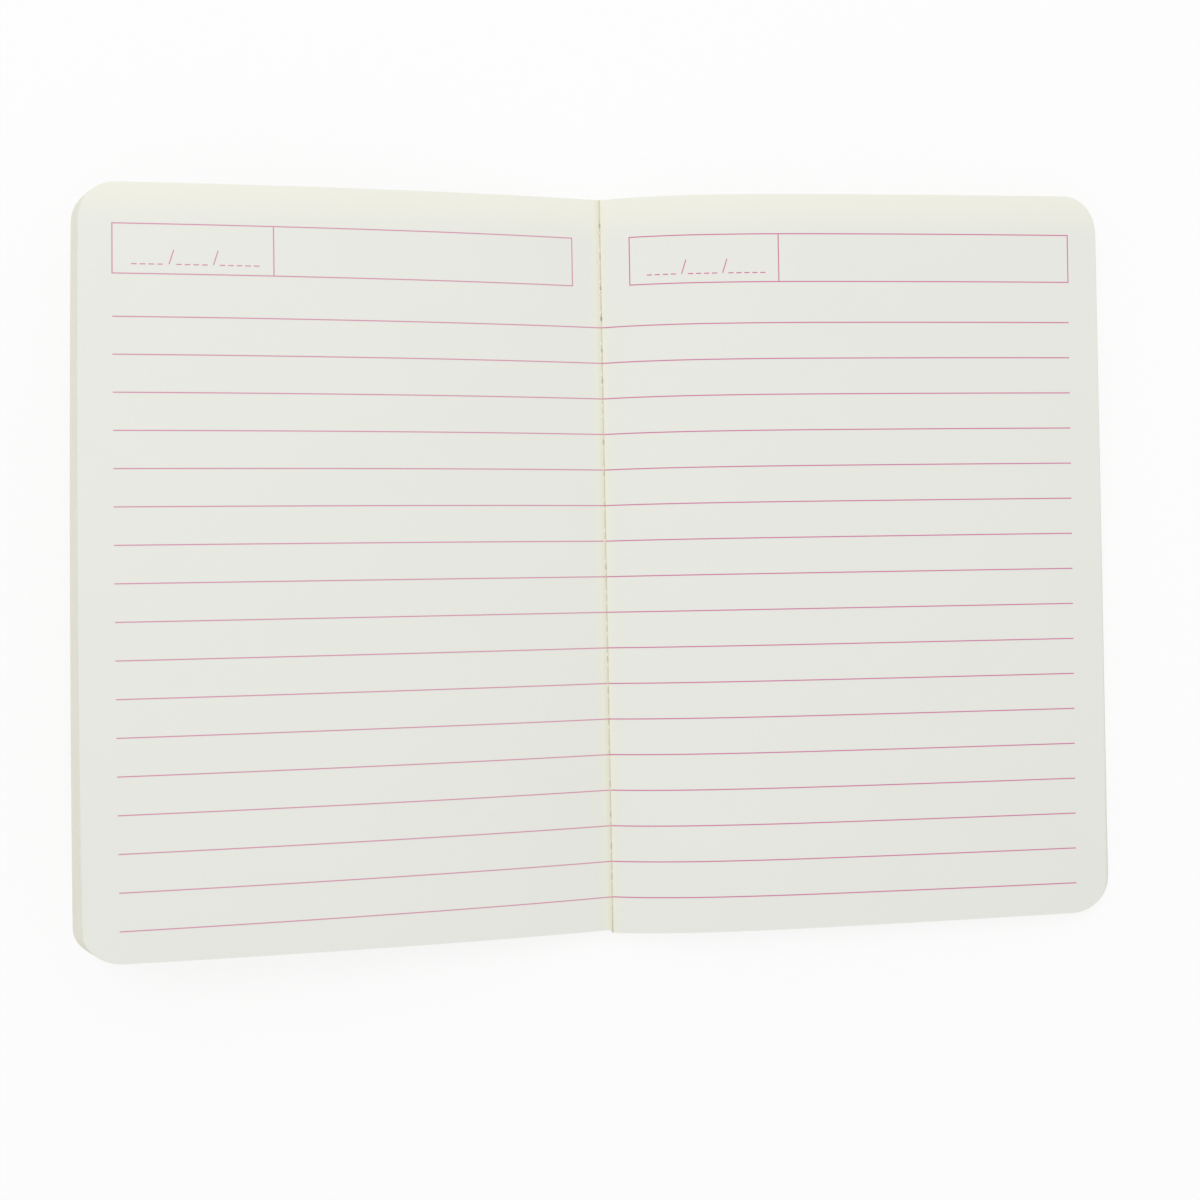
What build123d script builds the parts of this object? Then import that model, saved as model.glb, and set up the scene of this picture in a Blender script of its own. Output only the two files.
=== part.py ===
from build123d import *
import math
import os
from collections import namedtuple

# Sheets: page size, paper and how many are nested in the section
page_width = 99.5
page_height = 143.5
corner_radius = 7.0
sheet_count = 20
sheet_thickness = 0.10
sheet_air = 0.05

# Fold: room beside the thread, growth of that room and of the leaves' length, sheet by sheet outwards
fold_clearance = 0.4
fold_growth = 0.02
left_creep = 0.12
right_creep = 0.06

# Card cover and its sewn crease, which the thread pulls up into a shallow groove
cover_thickness = 0.35
crease_half_width = 0.9
crease_clearance = 0.2
crease_air = 0.05

# Seam: two threads that dip into the needle holes and nearly meet halfway through the fold
seam_margin = 4.5
stitch_pitch = 6.1
thread_diameter = 0.4
thread_clearance = 0.03
thread_lift = 0.02
thread_sink = 0.1
lock_gap = 0.3
dip_half_width = 0.8
lock_half_width = 0.3
thread_sides = 6
hole_clearance = 0.2

# Bends: angle above the table at the fold, angle it relaxes to, and the length it relaxes over
left_page_fold_angle = 16.3
left_page_rest_angle = 4.3
left_cover_fold_angle = 15.9
left_cover_rest_angle = 4.0
left_relax_length = 62.0
right_page_fold_angle = 21.1
right_page_rest_angle = -3.5
right_relax_length = 16.5

# Arc spans from the fold outwards, the flat end that holds the rounded corners, least turn of an arc
bend_spans = (8.0, 12.0, 20.0)
corner_flat = 12.0
least_turn = 1e-6

Bend = namedtuple("Bend", "fold rest relax")
left_page = Bend(left_page_fold_angle, left_page_rest_angle, left_relax_length)
left_cover = Bend(left_cover_fold_angle, left_cover_rest_angle, left_relax_length)
right_page = Bend(right_page_fold_angle, right_page_rest_angle, right_relax_length)
right_cover = Bend(0.0, 0.0, right_relax_length)

# Both profile planes have the page running out along local X and up along local Y
left_plane = Plane(origin=(0, 0, 0), x_dir=(-1, 0, 0), z_dir=(0, 1, 0))
right_plane = Plane.XZ

# Room at the fold, and heights there from the table up
fold_gap = thread_diameter / 2 + fold_clearance
sheet_pitch = sheet_thickness + sheet_air
crease_rise = thread_lift + thread_diameter + thread_clearance
crease_top = crease_rise + cover_thickness
lowest_sheet = crease_top + crease_air
page_top = lowest_sheet + sheet_count * sheet_pitch - sheet_air
cover_start = crease_half_width + crease_clearance


def angle_at(bend, along):
    """Angle of a bent sheet above the table, a given length out from the fold."""
    return bend.rest + (bend.fold - bend.rest) * math.exp(-along / bend.relax)


def heading(angle):
    return Vector(math.cos(math.radians(angle)), math.sin(math.radians(angle)))


def bent_line(bend, start, length, raised):
    """Draws one face of a bent sheet, raised above its lower face, and returns its two ends."""
    angle = angle_at(bend, 0)
    first = Vector(*start) + heading(angle + 90) * raised
    point = first
    along = 0.0
    for span in (*bend_spans, length - sum(bend_spans) - corner_flat):
        along += span
        turn = angle_at(bend, along) - angle
        if abs(turn) < least_turn:
            stretch = Line(point, point + heading(angle) * span)
        else:
            radius = span / math.radians(abs(turn)) - math.copysign(raised, turn)
            stretch = JernArc(point, heading(angle), radius, turn)
        point = stretch @ 1
        angle += turn
    last = point + heading(angle) * corner_flat
    Line(point, last)
    return first, last


def bent_sheet(bend, plane, start, length, thickness):
    """One leaf or cover panel: the bent profile drawn up the page, with rounded outer corners."""
    with BuildPart() as sheet:
        with BuildSketch(plane):
            with BuildLine():
                under_fold, under_edge = bent_line(bend, start, length, 0.0)
                over_fold, over_edge = bent_line(bend, start, length, thickness)
                Line(under_fold, over_fold)
                Line(under_edge, over_edge)
            make_face()
        extrude(amount=page_height / 2, both=True)
        outward = Axis((0, 0, 0), plane.x_dir)
        upright = sheet.edges().filter_by(lambda edge: edge.length < 2 * thickness)
        fillet(upright.sort_by(outward)[-2:], corner_radius)
    return sheet


# Leaves, counted from the open spread down to the cover, each bend graded towards its cover's
sides = (
    ("left", left_page, left_cover, left_plane, left_creep),
    ("right", right_page, right_cover, right_plane, right_creep),
)
pieces = {}
for side, page, cover, plane, creep in sides:
    for number in range(1, sheet_count + 1):
        depth = number - 1
        grade = depth / sheet_count
        bend = Bend(*(top + (base - top) * grade for top, base in zip(page, cover)))
        inner_end = fold_gap + fold_growth * depth
        height = lowest_sheet + sheet_pitch * (sheet_count - number)
        length = page_width - fold_gap + creep * depth
        leaf = bent_sheet(bend, plane, (inner_end, height), length, sheet_thickness)
        pieces[f"{side}_leaf_{number:02d}"] = leaf

# Cover panels, each of which swings on its lower edge beside the crease
panels = (
    ("front_cover", left_cover, left_plane, left_creep),
    ("back_cover", right_cover, right_plane, right_creep),
)
for name, bend, plane, creep in panels:
    length = page_width - cover_start + creep * sheet_count
    pieces[name] = bent_sheet(bend, plane, (cover_start, 0.0), length, cover_thickness)

# Needle holes, one more than there are stitches, centred on the height of the page
stitch_count = int((page_height - 2 * seam_margin) / stitch_pitch)
hole_count = stitch_count + 1
first_hole = -stitch_pitch * stitch_count / 2
holes = [first_hole + stitch_pitch * number for number in range(hole_count)]

# Sewn crease of the cover: a shallow arch with a slit at each needle hole
with BuildPart() as cover_crease:
    with BuildSketch(Plane.XZ):
        with BuildLine():
            ends = []
            for lift in (0.0, cover_thickness):
                arch = ThreePointArc(
                    (-crease_half_width, lift), (0, crease_rise + lift), (crease_half_width, lift)
                )
                ends.append((arch @ 0, arch @ 1))
            Line(ends[0][0], ends[1][0])
            Line(ends[0][1], ends[1][1])
        make_face()
    extrude(amount=page_height / 2, both=True)
    slit_width = thread_diameter + 2 * hole_clearance
    slit_length = 2 * dip_half_width + slit_width
    with BuildSketch(Plane.XY):
        with GridLocations(0, stitch_pitch, 1, hole_count):
            Rectangle(slit_width, slit_length)
    extrude(amount=crease_top, mode=Mode.SUBTRACT)
pieces["cover_crease"] = cover_crease


def seam_thread(run_height, lock_height):
    """A thread that runs from hole to hole at one height and turns at the lock height in every hole."""
    route = []
    for place in holes:
        route.append((place - dip_half_width, run_height))
        route.append((place - lock_half_width, lock_height))
        route.append((place + lock_half_width, lock_height))
        route.append((place + dip_half_width, run_height))
    route = route[1:-1]
    with BuildPart() as thread:
        with BuildLine(Plane.YZ) as path:
            Polyline(*route)
        with BuildSketch(Plane(path.line @ 0, z_dir=path.line % 0)):
            RegularPolygon(thread_diameter / 2, thread_sides)
        sweep(transition=Transition.RIGHT)
    return thread


# Inner thread in the gutter, outer thread in the groove under the crease
inner_run = page_top - thread_sink
outer_run = thread_lift + thread_diameter / 2
lock_middle = (inner_run + outer_run) / 2
lock_offset = (thread_diameter + lock_gap) / 2
pieces["inner_thread"] = seam_thread(inner_run, lock_middle + lock_offset)
pieces["outer_thread"] = seam_thread(outer_run, lock_middle - lock_offset)

os.makedirs("parts", exist_ok=True)
for name, piece in pieces.items():
    piece.part.label = name
    export_step(piece.part, f"parts/{name}.step")
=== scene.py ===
import math
from collections import namedtuple

import bmesh
import bpy
import numpy as np
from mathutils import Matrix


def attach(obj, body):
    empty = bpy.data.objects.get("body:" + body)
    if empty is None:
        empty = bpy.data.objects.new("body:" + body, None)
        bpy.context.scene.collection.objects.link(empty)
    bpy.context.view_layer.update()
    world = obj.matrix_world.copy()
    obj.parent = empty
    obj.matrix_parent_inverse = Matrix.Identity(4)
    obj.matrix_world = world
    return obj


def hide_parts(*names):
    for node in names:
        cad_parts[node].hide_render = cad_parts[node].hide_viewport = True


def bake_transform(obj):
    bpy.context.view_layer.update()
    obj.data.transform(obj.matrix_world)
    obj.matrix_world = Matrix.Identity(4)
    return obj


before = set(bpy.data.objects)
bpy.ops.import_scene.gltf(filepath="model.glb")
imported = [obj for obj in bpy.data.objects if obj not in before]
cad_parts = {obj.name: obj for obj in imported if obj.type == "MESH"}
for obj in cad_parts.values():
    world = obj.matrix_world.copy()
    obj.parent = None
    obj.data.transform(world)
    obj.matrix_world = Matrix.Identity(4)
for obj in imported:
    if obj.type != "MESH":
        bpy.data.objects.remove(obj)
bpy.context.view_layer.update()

mm = 0.001

# Sheets and their curves, as in the solids: lengths in metres, angles in degrees
page_width = 99.5 * mm
page_height = 143.5 * mm
corner_radius = 7.0 * mm
sheet_count = 20
sheet_thickness = 0.10 * mm
sheet_pitch = 0.15 * mm
fold_gap = 0.6 * mm
fold_growth = 0.02 * mm
left_creep = 0.12 * mm
right_creep = 0.06 * mm
lowest_sheet = 0.85 * mm
fold_dip = 0.1 * mm
bend_knots = (8 * mm, 20 * mm, 40 * mm)
corner_flat = 12 * mm

Bend = namedtuple("Bend", "fold rest relax")
left_page = Bend(16.3, 4.3, 62 * mm)
left_cover = Bend(15.9, 4.0, 62 * mm)
right_page = Bend(21.1, -3.5, 16.5 * mm)
right_cover = Bend(0.0, 0.0, 16.5 * mm)

# The fold lies a little left of the middle of the sheets, which the solids leave out
fold_shift = 0.57 * mm
left_width = page_width - fold_shift
right_width = page_width + fold_shift

# Curl of the paper, which the solids leave out: rise of the fore edge at its head and fall at its
# foot, and rise of both its ends
Curl = namedtuple("Curl", "twist bow")
left_curl = Curl(-2.40 * mm, -1.43 * mm)
right_curl = Curl(1.02 * mm, -0.34 * mm)
flat_curl = Curl(0.0, 0.0)

# Trim a little out of square: lift of the foot at the fold and at the fore edge, and reach of the
# fore edge at its foot and at its head
Trim = namedtuple("Trim", "fold_lift fore_lift foot_reach head_reach")
left_trim = Trim(-0.1 * mm, 0.5 * mm, 0.2 * mm, -0.35 * mm)
left_lowest_trim = Trim(-0.1 * mm, 1.3 * mm, -0.15 * mm, -1.05 * mm)
right_trim = Trim(-0.7 * mm, 0.4 * mm, 0.1 * mm, -0.5 * mm)
right_lowest_trim = Trim(-0.7 * mm, 0.4 * mm, -0.3 * mm, -0.7 * mm)
trim_band = 6 * mm

# Cover: panels that start beside a sewn crease, which arches over the outer thread
cover_thickness = 0.35 * mm
cover_start = 1.1 * mm
crease_rise = 0.45 * mm
slit_width = 0.5 * mm
slit_length = 1.2 * mm

# Seam: needle holes along the fold, heights of the threads' runs and of their turns in the holes
stitch_pitch = 6.1 * mm
stitch_count = 22
seam_shift = -0.4 * mm
first_hole = seam_shift - stitch_pitch * stitch_count / 2
last_hole = seam_shift + stitch_pitch * stitch_count / 2
holes = [first_hole + stitch_pitch * number for number in range(stitch_count + 1)]
inner_run = 3.54 * mm
outer_run = 0.22 * mm
lock_middle = (inner_run + outer_run) / 2
lock_offset = 0.35 * mm
dip_outer = 0.8 * mm
dip_inner = 0.3 * mm

# Threads: two twisted plies, narrower at their waist
thread_radius = 0.2 * mm
thread_sides = 14
ply_waist = 0.72
twist_pitch = 1.1 * mm
twist_steps = 10

# Loops of the inner thread beside its holes: slack at the foot, halfway and at the head, and lean
# to the left
loop_place = 1.0 * mm
loop_reach = 0.3 * mm
inner_loop = 0.14 * mm
loop_slack = (0.3, 1.0, 2.4)
loop_lean = 1.0

# Bending of paper and card at the joints
hinge_height = 5.2 * mm
fold_share = 1.4
top_fold = 0.7 * mm

# Cuts across the pieces, so that they bend: along a leaf, each run with its pitch and its first and
# last steps, up the page, over a fold and over the crease
leaf_cut_runs = ((0.125 * mm, 1, 31), (0.5 * mm, 8, 23), (2 * mm, 6, 19), (4 * mm, 10, 23))
page_cut_pitch = 8 * mm
page_cut_steps = 8
fold_half = 1 * mm
fold_steps = 12
crease_steps = 10

# Fineness of the curves, and how pieces are picked and shaded
profile_step = 0.05 * mm
lead_step = 0.05
corner_steps = 10
pick_margin = 0.1 * mm
steady_length = 60 * mm
smooth_angle = 40

# Printed ruling, in millimetres on the flat spread: across from the fold, down from the top edge
line_ends = (-92.54, 93.77)
line_pitch = 7.0
line_count = 17
first_line = 25.12
line_margin = 1
box_top = 7.76
box_foot = 17.10
left_box = (-92.54, -5.85)
right_box = (5.90, 93.77)
date_cell = 29.16
date_foot = 15.3
dash_length = 1.03
dash_pitch = 1.56
dash_groups = ((3.35, 4), (11.4, 4), (19.25, 5))
slash_feet = (10.15, 18.15)
slash_height = 2.75
slash_lean = 0.32
ink_half = 0.11
ink_soft = 0.05

# Room, lamp and camera: places in metres, turns in degrees
floor_size = 4
floor_drop = 0.1 * mm
floor_veil = 0.8
room_light = 0.72
lamp_place = (-0.1, 0.25, 0.75)
lamp_turn = (-18, -8, 0)
lamp_size = 0.6
lamp_power = 2.15
camera_place = (-23.157 * mm, -7.401 * mm, 307.843 * mm)
camera_turn = (0.16765, -4.10711, -1.08609)
camera_sensor = 36
camera_lens = 46.5
camera_nearest = 10 * mm


def tone(red, green, blue):
    """A colour as it is seen on a screen, 0 to 255, for a shader."""
    def linear(level):
        share = level / 255
        return share / 12.92 if share <= 0.04045 else ((share + 0.055) / 1.055) ** 2.4
    return (linear(red), linear(green), linear(blue), 1.0)


# Colours: duller and clearer for what varies all over, and what is laid over it
page_dull, page_clear = tone(230, 231, 224), tone(233, 234, 227)
page_fibre = tone(226, 227, 218)
# Painted light towards the head of the page
head_light_cream = tone(239, 238, 225)
fold_cream = tone(236, 235, 216)
aired_paper = tone(234, 232, 222)
# Painted shade on the left side of the fold and along its line
crease_shade_tan = tone(192, 185, 158)
rose_ink = tone(205, 120, 157)
# Painted shade in the needle holes
hole_shade_dark = tone(136, 132, 116)
# Edges painted lighter than the faces, to make up for the shade on their upright rims
edge_dull, edge_clear = tone(241, 233, 210), tone(251, 244, 223)
card_dull, card_clear = tone(206, 196, 174), tone(216, 207, 188)
card_fibre = tone(190, 178, 152)
card_fleck = tone(150, 134, 106)
thread_dull, thread_clear = tone(236, 233, 214), tone(250, 248, 236)
# Painted shade on the thread where it lies low in the fold
thread_shade = tone(204, 197, 172)
floor_white = tone(246, 246, 246)
plain_white = tone(255, 255, 255)

# Writing paper: strengths from 0 to 1, or from the faint patches to the strong ones, reaches in
# millimetres on the spread
page_fibre_strength = 0.5
# Painted light towards the head of the page
head_strength, head_reach = 0.8, 9.0
fold_strength, fold_reach, fold_offset = 0.75, 2.3, 0.3
aired_strength, aired_reach = 0.9, 0.6
# Painted shade along the fold and on its left side, patchy
crease_half, crease_soft, crease_shade_strength = 0.14, 0.16, (0.58, 0.92)
fold_shade_strength, fold_shade_rise, fold_shade_fall = 0.22, (-1.1, -0.1), (-0.1, 0.05)
ink_press, ink_grain = (0.7, 0.9), 0.3
# Needle holes, in painted shade
hole_length, hole_width, hole_soft, hole_strength = 0.5, 0.22, 0.7, (0.15, 0.75)
hole_margin, open_from, open_strength = 1, (10.0, 50.0), (0.3, 1.0)
patchy_range = (0.38, 0.62)

# Card, and the thread with its painted shade low in the fold
card_fibre_strength = 0.35
fleck_strength, fleck_range, fleck_soft = 0.35, (0.66, 0.96), 0.05
thread_shade_strength = 0.75


class Wire:
    """A socket of a finish's nodes, which takes part in sums."""

    def __init__(self, finish, socket):
        self.finish = finish
        self.socket = socket

    def sum(self, operation, first, second=0.0):
        return self.finish.node("ShaderNodeMath", {"operation": operation}, {0: first, 1: second})

    def __add__(self, other):
        return self.sum("ADD", self, other)

    __radd__ = __add__

    def __sub__(self, other):
        return self.sum("SUBTRACT", self, other)

    def __rsub__(self, other):
        return self.sum("SUBTRACT", other, self)

    def __mul__(self, other):
        return self.sum("MULTIPLY", self, other)

    __rmul__ = __mul__

    def __truediv__(self, other):
        return self.sum("DIVIDE", self, other)

    def __rtruediv__(self, other):
        return self.sum("DIVIDE", other, self)

    def __mod__(self, other):
        return self.sum("FLOORED_MODULO", self, other)

    def __pow__(self, other):
        return self.sum("POWER", self, other)

    def __gt__(self, other):
        return self.sum("GREATER_THAN", self, other)

    def __or__(self, other):
        return self.sum("MAXIMUM", self, other)

    def __abs__(self):
        return self.sum("ABSOLUTE", self)

    def from_nearest(self, pitch):
        """Distance from the nearest whole number of pitches."""
        return self.sum("PINGPONG", self, pitch / 2)

    def near(self, half, soft=ink_soft):
        """1 within half of zero, 0 outside, with a soft edge."""
        return self.finish.node("ShaderNodeClamp", {}, {"Value": (half - abs(self)) / soft + 0.5})

    def between(self, low, high, soft=ink_soft):
        """1 from low to high, 0 outside, with soft edges."""
        return (self - (low + high) / 2).near((high - low) / 2, soft)

    def from_to(self, low, high):
        """Low where this share is 0, high where it is 1."""
        return low + (high - low) * self

    def output(self, name):
        """Another output of the node that this wire leaves."""
        return Wire(self.finish, self.socket.node.outputs[name])


class Finish:
    """The nodes of a material or of the surroundings, and their shader."""

    def __init__(self, owner, shader="Principled BSDF"):
        self.owner = owner
        owner.use_nodes = True
        self.tree = owner.node_tree
        self.shader = self.tree.nodes[shader]

    def fill(self, socket, value):
        """Links a wire to a socket, or sets the socket to a plain value."""
        if isinstance(value, Wire):
            self.tree.links.new(value.socket, socket)
        else:
            socket.default_value = value

    def node(self, kind, settings={}, sockets={}, output=0):
        """Adds a node, sets it up, fills its sockets, and returns one of its outputs."""
        made = self.tree.nodes.new(kind)
        for name, value in settings.items():
            setattr(made, name, value)
        for name, value in sockets.items():
            self.fill(made.inputs[name], value)
        return Wire(self, made.outputs[output])

    def mix(self, share, first, second):
        """The first colour where the share is 0, the second where it is 1."""
        colours = {0: share, 6: first, 7: second}
        return self.node("ShaderNodeMix", {"data_type": "RGBA"}, colours, output=2)

    def noise(self, place, scale, detail):
        sockets = {"Vector": place, "Scale": scale, "Detail": detail}
        return self.node("ShaderNodeTexNoise", {}, sockets)

    def stretched(self, place, stretch):
        return self.node("ShaderNodeMapping", {}, {"Vector": place, "Scale": stretch})

    def fade(self, distance, reach, share):
        """A share that fades smoothly to nothing over a distance."""
        return self.node(
            "ShaderNodeMapRange", {"interpolation_type": "SMOOTHSTEP"},
            {"Value": distance, "From Min": 0.0, "From Max": reach, "To Min": share, "To Max": 0.0},
        )

    def share(self, value, low, high):
        """How far a value lies from low to high, kept between 0 and 1."""
        sockets = {"Value": value, "From Min": low, "From Max": high}
        return self.node("ShaderNodeMapRange", {}, sockets)

    def object_place(self):
        """The place on the object, in millimetres."""
        place = self.node("ShaderNodeTexCoord").output("Object")
        return self.stretched(place, (1 / mm, 1 / mm, 1 / mm))

    def bump(self, height, strength, distance):
        sockets = {"Height": height, "Strength": strength, "Distance": distance}
        return self.node("ShaderNodeBump", {}, sockets)

    def seen(self):
        """1 for what the camera sees, straight on or by way of gloss or glass."""
        ray = self.node("ShaderNodeLightPath")
        return ray | ray.output("Is Glossy Ray") | ray.output("Is Transmission Ray")

    def finish(self, **surface):
        """Fills the shader's sockets, and returns the material or the surroundings."""
        for name, value in surface.items():
            self.fill(self.shader.inputs[name.replace("_", " ").title()], value)
        return self.owner


def ruled_ink(across, drop):
    """The printed ruling of the whole spread: 1 on a line, 0 beside it."""
    last_line = first_line + line_pitch * (line_count - 1)
    rules = (drop - first_line).from_nearest(line_pitch).near(ink_half)
    rules = rules * drop.between(first_line - line_margin, last_line + line_margin)
    rules = rules * across.between(*line_ends)

    right_hand = across > 0
    box_start = right_hand.from_to(left_box[0], right_box[0])
    box_end = right_hand.from_to(left_box[1], right_box[1])
    box_across = across - box_start
    box_width = box_end - box_start
    flat = (drop - box_top).near(ink_half) | (drop - box_foot).near(ink_half)
    upright = box_across.near(ink_half) | (box_across - date_cell).near(ink_half)
    upright = upright | (box_across - box_width).near(ink_half)
    box = flat * (box_across - box_width / 2).near(box_width / 2 + ink_half)
    box = box | upright * drop.between(box_top, box_foot)

    marks = None
    for start, count in dash_groups:
        offset = box_across - start
        dashes = (offset % dash_pitch - dash_length / 2).near(dash_length / 2)
        dashes = dashes * offset.between(-ink_soft, count * dash_pitch)
        marks = dashes if marks is None else marks | dashes
    marks = marks * (drop - date_foot).near(ink_half)
    for foot in slash_feet:
        lean = box_across - foot - (date_foot - drop) * slash_lean
        marks = marks | lean.near(ink_half) * drop.between(date_foot - slash_height, date_foot)
    return rules | box | marks


def needle_holes(across, up):
    """The marks of the needle along the fold: 1 in a hole, 0 beside it."""
    along_seam = (up - first_hole / mm).from_nearest(stitch_pitch / mm)
    hole = (along_seam / hole_length) ** 2 + (across / hole_width) ** 2
    seam = up.between(first_hole / mm - hole_margin, last_hole / mm + hole_margin)
    return hole.near(1.0, hole_soft) * seam


def make_ruled_paper():
    """Cream writing paper: rose ruling, faint fibres, painted light towards the head, a yellower
    fold with painted shade beside and along it, and needle holes in painted shade.
    """
    paper = Finish(bpy.data.materials.new("ruled_paper"))
    spread = paper.node("ShaderNodeUVMap", {"uv_map": "spread"})
    across = paper.node("ShaderNodeSeparateXYZ", {}, {0: spread})
    up = across.output("Y")
    drop = page_height / mm / 2 - up
    cloud = paper.noise(spread, scale=0.05, detail=4.0)
    fibre = paper.noise(paper.stretched(spread, (1.0, 0.45, 1.0)), scale=2.6, detail=4.0)
    grain = paper.noise(spread, scale=9.0, detail=2.0)
    patchy = paper.share(paper.noise(spread, scale=0.19, detail=2.0), *patchy_range)

    colour = paper.mix(cloud, page_dull, page_clear)
    colour = paper.mix(fibre * page_fibre_strength, colour, page_fibre)
    # Painted light: the page lighter towards its head
    head_light = paper.fade(drop, head_reach, head_strength)
    colour = paper.mix(head_light, colour, head_light_cream)
    at_fold = paper.fade(abs(across + fold_offset), fold_reach, fold_strength)
    colour = paper.mix(at_fold, colour, fold_cream)
    aired = paper.share(0 - across, left_width / mm, left_width / mm + aired_reach)
    colour = paper.mix(aired * aired_strength, colour, aired_paper)

    # Painted shade on the left side of the fold, and a patchy line of painted shade along the fold
    left_fold_shade = paper.share(across, *fold_shade_rise) * paper.share(0 - across, *fold_shade_fall)
    line = across.near(crease_half, crease_soft) * patchy.from_to(*crease_shade_strength)
    colour = paper.mix(left_fold_shade * fold_shade_strength | line, colour, crease_shade_tan)

    # Ink, pressed harder on the right, and needle holes in painted shade, drawn open towards the
    # head
    pressed = (across > 0).from_to(*ink_press)
    colour = paper.mix(ruled_ink(across, drop) * (pressed + ink_grain * grain), colour, rose_ink)
    opened = paper.share(up, *open_from).from_to(*open_strength)
    hole = needle_holes(across, up) * patchy.from_to(*hole_strength) * opened
    colour = paper.mix(hole, colour, hole_shade_dark)

    return paper.finish(
        base_color=colour,
        roughness=fibre.from_to(0.8, 0.92),
        normal=paper.bump(fibre * 0.6 + grain * 0.4, strength=0.25, distance=0.03 * mm),
    )


def make_cut_paper():
    """Trimmed edges of the sheets, a little yellower than their faces, and painted lighter to make
    up for the shade on their upright rims.
    """
    edge = Finish(bpy.data.materials.new("cut_paper"))
    place = edge.object_place()
    streak = edge.noise(edge.stretched(place, (1.0, 0.12, 6.0)), scale=1.4, detail=3.0)
    grain = edge.noise(place, scale=7.0, detail=2.0)
    return edge.finish(
        base_color=edge.mix(streak, edge_dull, edge_clear),
        roughness=grain.from_to(0.84, 0.94),
        normal=edge.bump(grain, strength=0.3, distance=0.03 * mm),
    )


def make_cover_card():
    """Uncoated pulp card with short darker fibres."""
    card = Finish(bpy.data.materials.new("cover_card"))
    place = card.object_place()
    cloud = card.noise(place, scale=0.06, detail=4.0)
    fibre = card.noise(card.stretched(place, (0.5, 1.6, 1.0)), scale=1.6, detail=5.0)
    fleck = card.noise(card.stretched(place, (2.2, 0.7, 1.0)), scale=1.1, detail=2.0)
    colour = card.mix(cloud, card_dull, card_clear)
    colour = card.mix(fibre * card_fibre_strength, colour, card_fibre)
    flecked = fleck.between(*fleck_range, fleck_soft) * fleck_strength
    colour = card.mix(flecked, colour, card_fleck)
    return card.finish(
        base_color=colour,
        roughness=fibre.from_to(0.66, 0.82),
        normal=card.bump(fibre, strength=0.35, distance=0.05 * mm),
    )


def make_thread():
    """Cream cotton thread: fine fibres along the plies, with painted shade where it lies low in the
    fold.
    """
    cotton = Finish(bpy.data.materials.new("cotton_thread"))
    place = cotton.object_place()
    fibre = cotton.noise(cotton.stretched(place, (9.0, 2.0, 9.0)), scale=1.5, detail=4.0)
    colour = cotton.mix(fibre, thread_dull, thread_clear)
    height = cotton.node("ShaderNodeSeparateXYZ", {}, {0: place}).output("Z")
    # Painted shade: darker where the thread lies low in the fold
    low_thread_shade = height.between(lock_middle / mm, (inner_run + thread_radius) / mm)
    colour = cotton.mix(low_thread_shade * thread_shade_strength, colour, thread_shade)
    return cotton.finish(
        base_color=colour,
        roughness=fibre.from_to(0.7, 0.9),
        normal=cotton.bump(fibre, strength=0.4, distance=0.03 * mm),
    )


ruled_paper = make_ruled_paper()
cut_paper = make_cut_paper()
cover_card = make_cover_card()
cotton_thread = make_thread()


def pick(piece):
    """Makes a piece the active one and the only one selected."""
    bpy.ops.object.select_all(action="DESELECT")
    piece.select_set(True)
    bpy.context.view_layer.objects.active = piece


def select_verts(piece, test):
    """Selects, in edit mode, the vertices whose place passes a test."""
    shape = bmesh.from_edit_mesh(piece.data)
    for vert in shape.verts:
        vert.select_set(test(vert.co))
    shape.select_flush_mode()
    bmesh.update_edit_mesh(piece.data)


def cut_across(places, direction):
    """Bisects the piece being edited at each place along a direction."""
    for place in places:
        bpy.ops.mesh.select_all(action="SELECT")
        bpy.ops.mesh.bisect(plane_co=[place * share for share in direction], plane_no=direction)


def flat_sheet(name, near_end, far_end, cuts, finishes):
    """A flat piece between two places along X, cut across to bend, and left in edit mode."""
    bpy.ops.object.select_all(action="DESELECT")
    bpy.ops.mesh.primitive_plane_add(size=1, calc_uvs=False)
    piece = bpy.context.object
    piece.name = name
    for finish in finishes:
        piece.data.materials.append(finish)
    bpy.ops.object.mode_set(mode="EDIT")
    bpy.ops.mesh.select_mode(type="VERT")
    bpy.ops.transform.resize(value=(abs(far_end - near_end), page_height, 1))
    bpy.ops.transform.translate(value=((near_end + far_end) / 2, 0, 0))
    cut_across(cuts, (1, 0, 0))
    return piece


def round_corners(piece, side):
    """Rounds the two outer corners of a flat leaf."""
    outermost = page_width - pick_margin
    tip = page_height / 2 - pick_margin
    select_verts(piece, lambda place: place.x * side > outermost and abs(place.y) > tip)
    bpy.ops.mesh.bevel(offset=corner_radius, segments=corner_steps, affect="VERTICES")


def thicken(piece, thickness, rim):
    """Gives a flat piece its thickness upwards; its rim takes a later material slot."""
    bpy.ops.object.mode_set(mode="OBJECT")
    bpy.ops.object.modifier_add(type="SOLIDIFY")
    wall = piece.modifiers[-1]
    wall.thickness = thickness
    wall.offset = 1
    wall.material_offset_rim = rim
    bpy.ops.object.modifier_apply(modifier=wall.name)


def copy_of(blank, name):
    """A copy of a blank with its own mesh."""
    piece = blank.copy()
    piece.data = blank.data.copy()
    piece.name = piece.data.name = name
    bpy.context.collection.objects.link(piece)
    return piece


def shade(piece):
    pick(piece)
    bpy.ops.object.shade_smooth_by_angle(angle=math.radians(smooth_angle))


def points_of(piece):
    points = np.empty(len(piece.data.vertices) * 3)
    piece.data.vertices.foreach_get("co", points)
    return points.reshape(-1, 3)


def move_points(piece, points):
    piece.data.vertices.foreach_set("co", points.ravel())
    piece.data.update()


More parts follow.
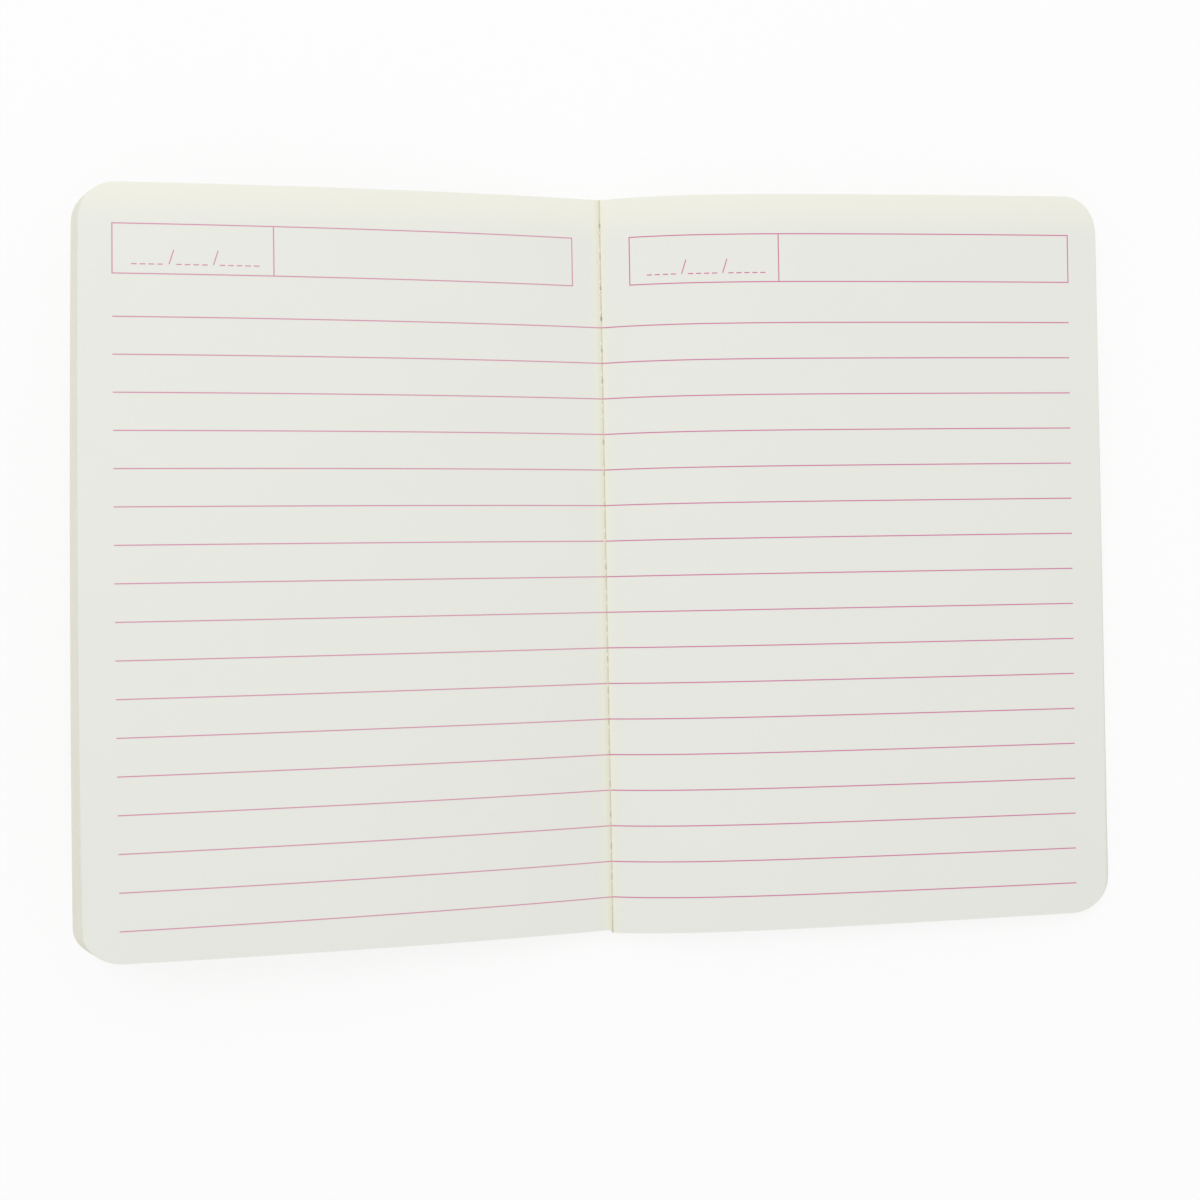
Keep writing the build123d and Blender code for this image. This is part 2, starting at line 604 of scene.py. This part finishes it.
def map_ruling(piece):
    """Lays the ruled spread on a flat piece: as it lies on top, turned over underneath."""
    layer = piece.data.uv_layers.new(name="spread")
    points = points_of(piece) / mm
    for face in piece.data.polygons:
        hand = 1 if face.normal.z > 0 else -1
        for corner, vert in zip(face.loop_indices, face.vertices):
            layer.data[corner].uv = (hand * points[vert, 0], points[vert, 1])


class Curve:
    """The bent line of a sheet's lower face, by distance outwards along the sheet."""

    def __init__(self, bend, curl, inner_end, height, length):
        knots = (0.0, *bend_knots, length - corner_flat, length)
        eased = bend.fold - bend.rest
        turns = [bend.rest + eased * math.exp(-knot / bend.relax) for knot in knots]
        turns[-1] = turns[-2]
        run = np.arange(0, length + profile_step, profile_step)
        self.angle = np.radians(np.interp(run, knots, turns))
        middle = (self.angle[1:] + self.angle[:-1]) / 2
        self.along = inner_end + run
        self.out = inner_end + np.concatenate(([0], np.cumsum(np.cos(middle)))) * profile_step
        self.up = height + np.concatenate(([0], np.cumsum(np.sin(middle)))) * profile_step
        self.curl = curl

    def reach_fold(self, dip):
        """Leads the sheet on from its inner end to the fold line, lower and level there."""
        inner_end = self.along[0]
        slope = math.tan(self.angle[0])
        back = 1 - np.arange(0, 1, lead_step)
        rise = slope * inner_end - dip
        up = self.up[0] - inner_end * slope * back + rise * back ** 2
        angle = np.arctan(slope - 2 * rise * back / inner_end)
        self.along = np.concatenate((inner_end * (1 - back), self.along))
        self.out = np.concatenate((inner_end * (1 - back), self.out))
        self.up = np.concatenate((up, self.up))
        self.angle = np.concatenate((angle, self.angle))

    def place(self, along, page_place, raised):
        """Where points go, out and up, by how far along, up the page and raised they lie flat."""
        angle = np.interp(along, self.along, self.angle)
        out = np.interp(along, self.along, self.out) - raised * np.sin(angle)
        up = np.interp(along, self.along, self.up) + raised * np.cos(angle)
        share = page_place / (page_height / 2)
        curl = self.curl.twist * share + self.curl.bow * share ** 2
        return out, up + along / page_width * curl


def on_side(points, side):
    """The points that lie on one side of the fold; those on the fold line count as right."""
    return points[:, 0] < 0 if side < 0 else points[:, 0] >= 0


def bend_piece(piece, curves):
    """Bends a flat piece over the curve of the side that each point lies on."""
    points = points_of(piece)
    for side, curve in curves.items():
        there = on_side(points, side)
        out, up = curve.place(points[there, 0] * side, points[there, 1], points[there, 2])
        points[there, 0] = out * side
        points[there, 2] = up
    move_points(piece, points)
    shade(piece)


def towards(first, last, share):
    """Values a share of the way from the first tuple to the last, as the same kind of tuple."""
    return type(first)(*(start + (end - start) * share for start, end in zip(first, last)))


# The two halves of the book by the side of the fold that they lie on
Half = namedtuple("Half", "hand cover_name width creep page cover curl cover_curl trim lowest_trim")
halves = {
    -1: Half(
        "left", "front_cover", left_width, left_creep, left_page, left_cover,
        left_curl, left_curl, left_trim, left_lowest_trim,
    ),
    1: Half(
        "right", "back_cover", right_width, right_creep, right_page, right_cover,
        right_curl, flat_curl, right_trim, right_lowest_trim,
    ),
}


def sheet_curves(depth, grade, height):
    """Curve of each half of the sheet that lies so many sheets below the open spread."""
    curves = {}
    for side, half in halves.items():
        bend = towards(half.page, half.cover, grade)
        curl = towards(half.curl, half.cover_curl, grade)
        length = half.width - fold_gap + half.creep * depth
        curves[side] = Curve(bend, curl, fold_gap + fold_growth * depth, height, length)
        curves[side].reach_fold(fold_dip * (1 - grade))
    return curves


def cut_to_length(piece, side, near_end, extra):
    """Moves a blank's inner edge to its place and its outer part outwards, corners and all."""
    points = points_of(piece)
    along = points[:, 0] * side
    inner = near_end + along * (steady_length + extra - near_end) / steady_length
    points[:, 0] = np.where(along < steady_length, inner, along + extra) * side
    move_points(piece, points)


def trim_leaf(piece, grade):
    """Cuts the foot and the fore edge a little out of square with the ruling."""
    points = points_of(piece)
    for side, half in halves.items():
        there = on_side(points, side)
        along = points[there, 0] * side
        up = points[there, 1] + page_height / 2
        trim = towards(half.trim, half.lowest_trim, grade)
        reach = np.interp(up, (0, page_height), (trim.foot_reach, trim.head_reach))
        lift = np.interp(along, (0, half.width), (trim.fold_lift, trim.fore_lift))
        fore_share = np.clip((along - half.width + trim_band) / trim_band, 0, 1)
        foot_share = np.clip((trim_band - up) / trim_band, 0, 1)
        points[there, 0] += side * fore_share * reach
        points[there, 1] += foot_share * lift
    move_points(piece, points)


# Blanks: one leaf of each hand, and one fold
leaf_cuts = [
    step * pitch for pitch, first, last in leaf_cut_runs for step in range(first, last + 1)
]
page_cuts = [step * page_cut_pitch for step in range(-page_cut_steps, page_cut_steps + 1)]
page_cuts.append(trim_band - page_height / 2)
paper_finishes = (ruled_paper, cut_paper)
leaf_blanks = {}
for side in halves:
    cuts = [side * cut for cut in leaf_cuts]
    blank = flat_sheet("leaf_blank", 0, side * page_width, cuts, paper_finishes)
    round_corners(blank, side)
    cut_across(page_cuts, (0, 1, 0))
    thicken(blank, sheet_thickness, 1)
    leaf_blanks[side] = blank

fold_cuts = [fold_half * step / fold_steps for step in range(1 - fold_steps, fold_steps)]
fold_blank = flat_sheet("fold_blank", -fold_half, fold_half, fold_cuts, paper_finishes)
cut_across(page_cuts, (0, 1, 0))
thicken(fold_blank, sheet_thickness, 1)

# Sheets, each a fold that bends between the two halves of the book and two leaves beside it
for number in range(1, sheet_count + 1):
    depth = number - 1
    grade = depth / sheet_count
    height = lowest_sheet + sheet_pitch * (sheet_count - number)
    curves = sheet_curves(depth, grade, height)
    half_fold = top_fold if number == 1 else fold_share * (hinge_height - height)

    fold = copy_of(fold_blank, f"sheet_fold_{number:02d}")
    move_points(fold, points_of(fold) * (half_fold / fold_half, 1, 1))
    trim_leaf(fold, grade)
    map_ruling(fold)
    bend_piece(fold, curves)
    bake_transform(fold)

    for side, half in halves.items():
        leaf = copy_of(leaf_blanks[side], f"{half.hand}_page_{number:02d}")
        extra = half.width - page_width + (fold_growth + half.creep) * depth
        cut_to_length(leaf, side, half_fold, extra)
        trim_leaf(leaf, grade)
        map_ruling(leaf)
        bend_piece(leaf, {side: curves[side]})
        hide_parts(f"{half.hand}_leaf_{number:02d}")
        if number == 1:
            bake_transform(leaf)
        else:
            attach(leaf, f"{half.hand}_block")

# Cover panels
for side, half in halves.items():
    reach = half.width + half.creep * sheet_count
    panel = copy_of(leaf_blanks[side], f"{half.cover_name}_panel")
    move_points(panel, points_of(panel) * (1, 1, cover_thickness / sheet_thickness))
    for slot in range(len(paper_finishes)):
        panel.data.materials[slot] = cover_card
    cut_to_length(panel, side, cover_start, reach - page_width)
    trim_leaf(panel, 1)
    curve = Curve(half.cover, half.cover_curl, cover_start, 0, reach - cover_start)
    bend_piece(panel, {side: curve})
    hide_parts(half.cover_name)
    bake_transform(panel)

for blank in (*leaf_blanks.values(), fold_blank):
    bpy.data.objects.remove(blank)

# Sewn crease of the cover, with its needle slits
crease_cuts = [cover_start * step / crease_steps for step in range(1 - crease_steps, crease_steps)]
crease_cuts += [-slit_width / 2, slit_width / 2]
crease = flat_sheet("cover_crease_strip", -cover_start, cover_start, crease_cuts, (cover_card,))
cut_across([hole + end * slit_length / 2 for hole in holes for end in (-1, 1)], (0, 1, 0))
bpy.ops.mesh.select_mode(type="FACE")
shape = bmesh.from_edit_mesh(crease.data)
for face in shape.faces:
    middle = face.calc_center_median()
    inside = abs(middle.x) < slit_width / 2
    face.select_set(inside and min(abs(middle.y - hole) for hole in holes) < slit_length / 2)
bmesh.update_edit_mesh(crease.data)
bpy.ops.mesh.delete(type="FACE")
thicken(crease, cover_thickness, 0)
for vert in crease.data.vertices:
    vert.co.z += crease_rise * (1 + math.cos(math.pi * vert.co.x / cover_start)) / 2
shade(crease)
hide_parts("cover_crease")
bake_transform(crease)


def thread_route(name, run, lock, loop):
    """The line of a thread: along the fold, up in a small loop and down into every hole."""
    step = twist_pitch / twist_steps
    count = int((holes[-1] - holes[0]) / step) + 1
    route = bpy.data.curves.new(name, "CURVE")
    route.dimensions = "3D"
    line = route.splines.new("POLY")
    line.points.add(count - 1)
    for number, point in enumerate(line.points):
        along = holes[0] + number * step
        away = min(abs(along - hole) for hole in holes)
        share = min(max((away - dip_inner) / (dip_outer - dip_inner), 0), 1)
        share = share * share * (3 - 2 * share)
        slack = np.interp(along, (holes[0], 0, holes[-1]), loop_slack)
        raised = loop * slack * math.exp(-(((away - loop_place) / loop_reach) ** 2))
        point.co = (-loop_lean * raised, along, lock + (run - lock) * share + raised, 1)
        point.tilt = 2 * math.pi * along / twist_pitch
    return route


def thread_section(name):
    """The outline of two plies side by side."""
    plies = bpy.data.curves.new(f"{name}_plies", "CURVE")
    ring = plies.splines.new("POLY")
    ring.points.add(thread_sides - 1)
    ring.use_cyclic_u = True
    for number, point in enumerate(ring.points):
        turn = 2 * math.pi * number / thread_sides
        reach = thread_radius * (ply_waist + (1 - ply_waist) * abs(math.cos(turn)))
        point.co = (reach * math.cos(turn), reach * math.sin(turn), 0, 1)
    section = bpy.data.objects.new(f"{name}_plies", plies)
    bpy.context.collection.objects.link(section)
    return section


def sew(name, run, lock, loop):
    """A two-ply thread, sewn along its route and made a mesh."""
    route = thread_route(name, run, lock, loop)
    section = thread_section(name)
    route.bevel_mode = "OBJECT"
    route.bevel_object = section
    route.use_fill_caps = True
    thread = bpy.data.objects.new(name, route)
    bpy.context.collection.objects.link(thread)
    pick(thread)
    bpy.ops.object.convert(target="MESH")
    thread = bpy.context.object
    bpy.data.objects.remove(section)
    thread.data.materials.append(cotton_thread)
    shade(thread)
    return thread


seams = (
    ("inner_thread", inner_run, lock_offset, inner_loop),
    ("outer_thread", outer_run, -lock_offset, 0.0),
)
for node, run, offset, loop in seams:
    thread = sew(f"{node}_twist", run, lock_middle + offset, loop)
    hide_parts(node)
    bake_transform(thread)

# Floor: white to the camera, with a faint shadow
bpy.ops.object.select_all(action="DESELECT")
bpy.ops.mesh.primitive_plane_add(size=floor_size, location=(0, 0, -floor_drop))
floor = bpy.context.object
floor.name = "floor"
ground = Finish(bpy.data.materials.new("floor_white"))
floor.data.materials.append(ground.finish(base_color=floor_white, roughness=0.9))
lit = Wire(ground, ground.shader.outputs[0])
clear = ground.node("ShaderNodeBsdfTransparent")
veil = ground.node("ShaderNodeMixShader", {}, {0: ground.seen() * floor_veil, 1: lit, 2: clear})
ground.fill(ground.tree.nodes["Material Output"].inputs["Surface"], veil)

# Soft light all round, white to the camera, and a little more from above the head of the page
studio = Finish(bpy.data.worlds.new("studio"), "Background")
room = studio.seen().from_to(room_light, 1.0)
bpy.context.scene.world = studio.finish(color=plain_white, strength=room)


def turned(angles):
    return [math.radians(angle) for angle in angles]


bpy.ops.object.select_all(action="DESELECT")
bpy.ops.object.light_add(type="AREA", location=lamp_place, rotation=turned(lamp_turn))
lamp = bpy.context.object
lamp.name = "soft_box"
lamp.data.shape = "SQUARE"
lamp.data.size = lamp_size
lamp.data.energy = lamp_power

# Camera above the spread, as in the photograph
bpy.ops.object.camera_add(location=camera_place, rotation=turned(camera_turn))
camera = bpy.context.object
camera.name = "camera"
camera.data.sensor_width = camera_sensor
camera.data.lens = camera_lens
camera.data.clip_start = camera_nearest
bpy.context.scene.camera = camera
bpy.context.scene.view_settings.view_transform = "Standard"
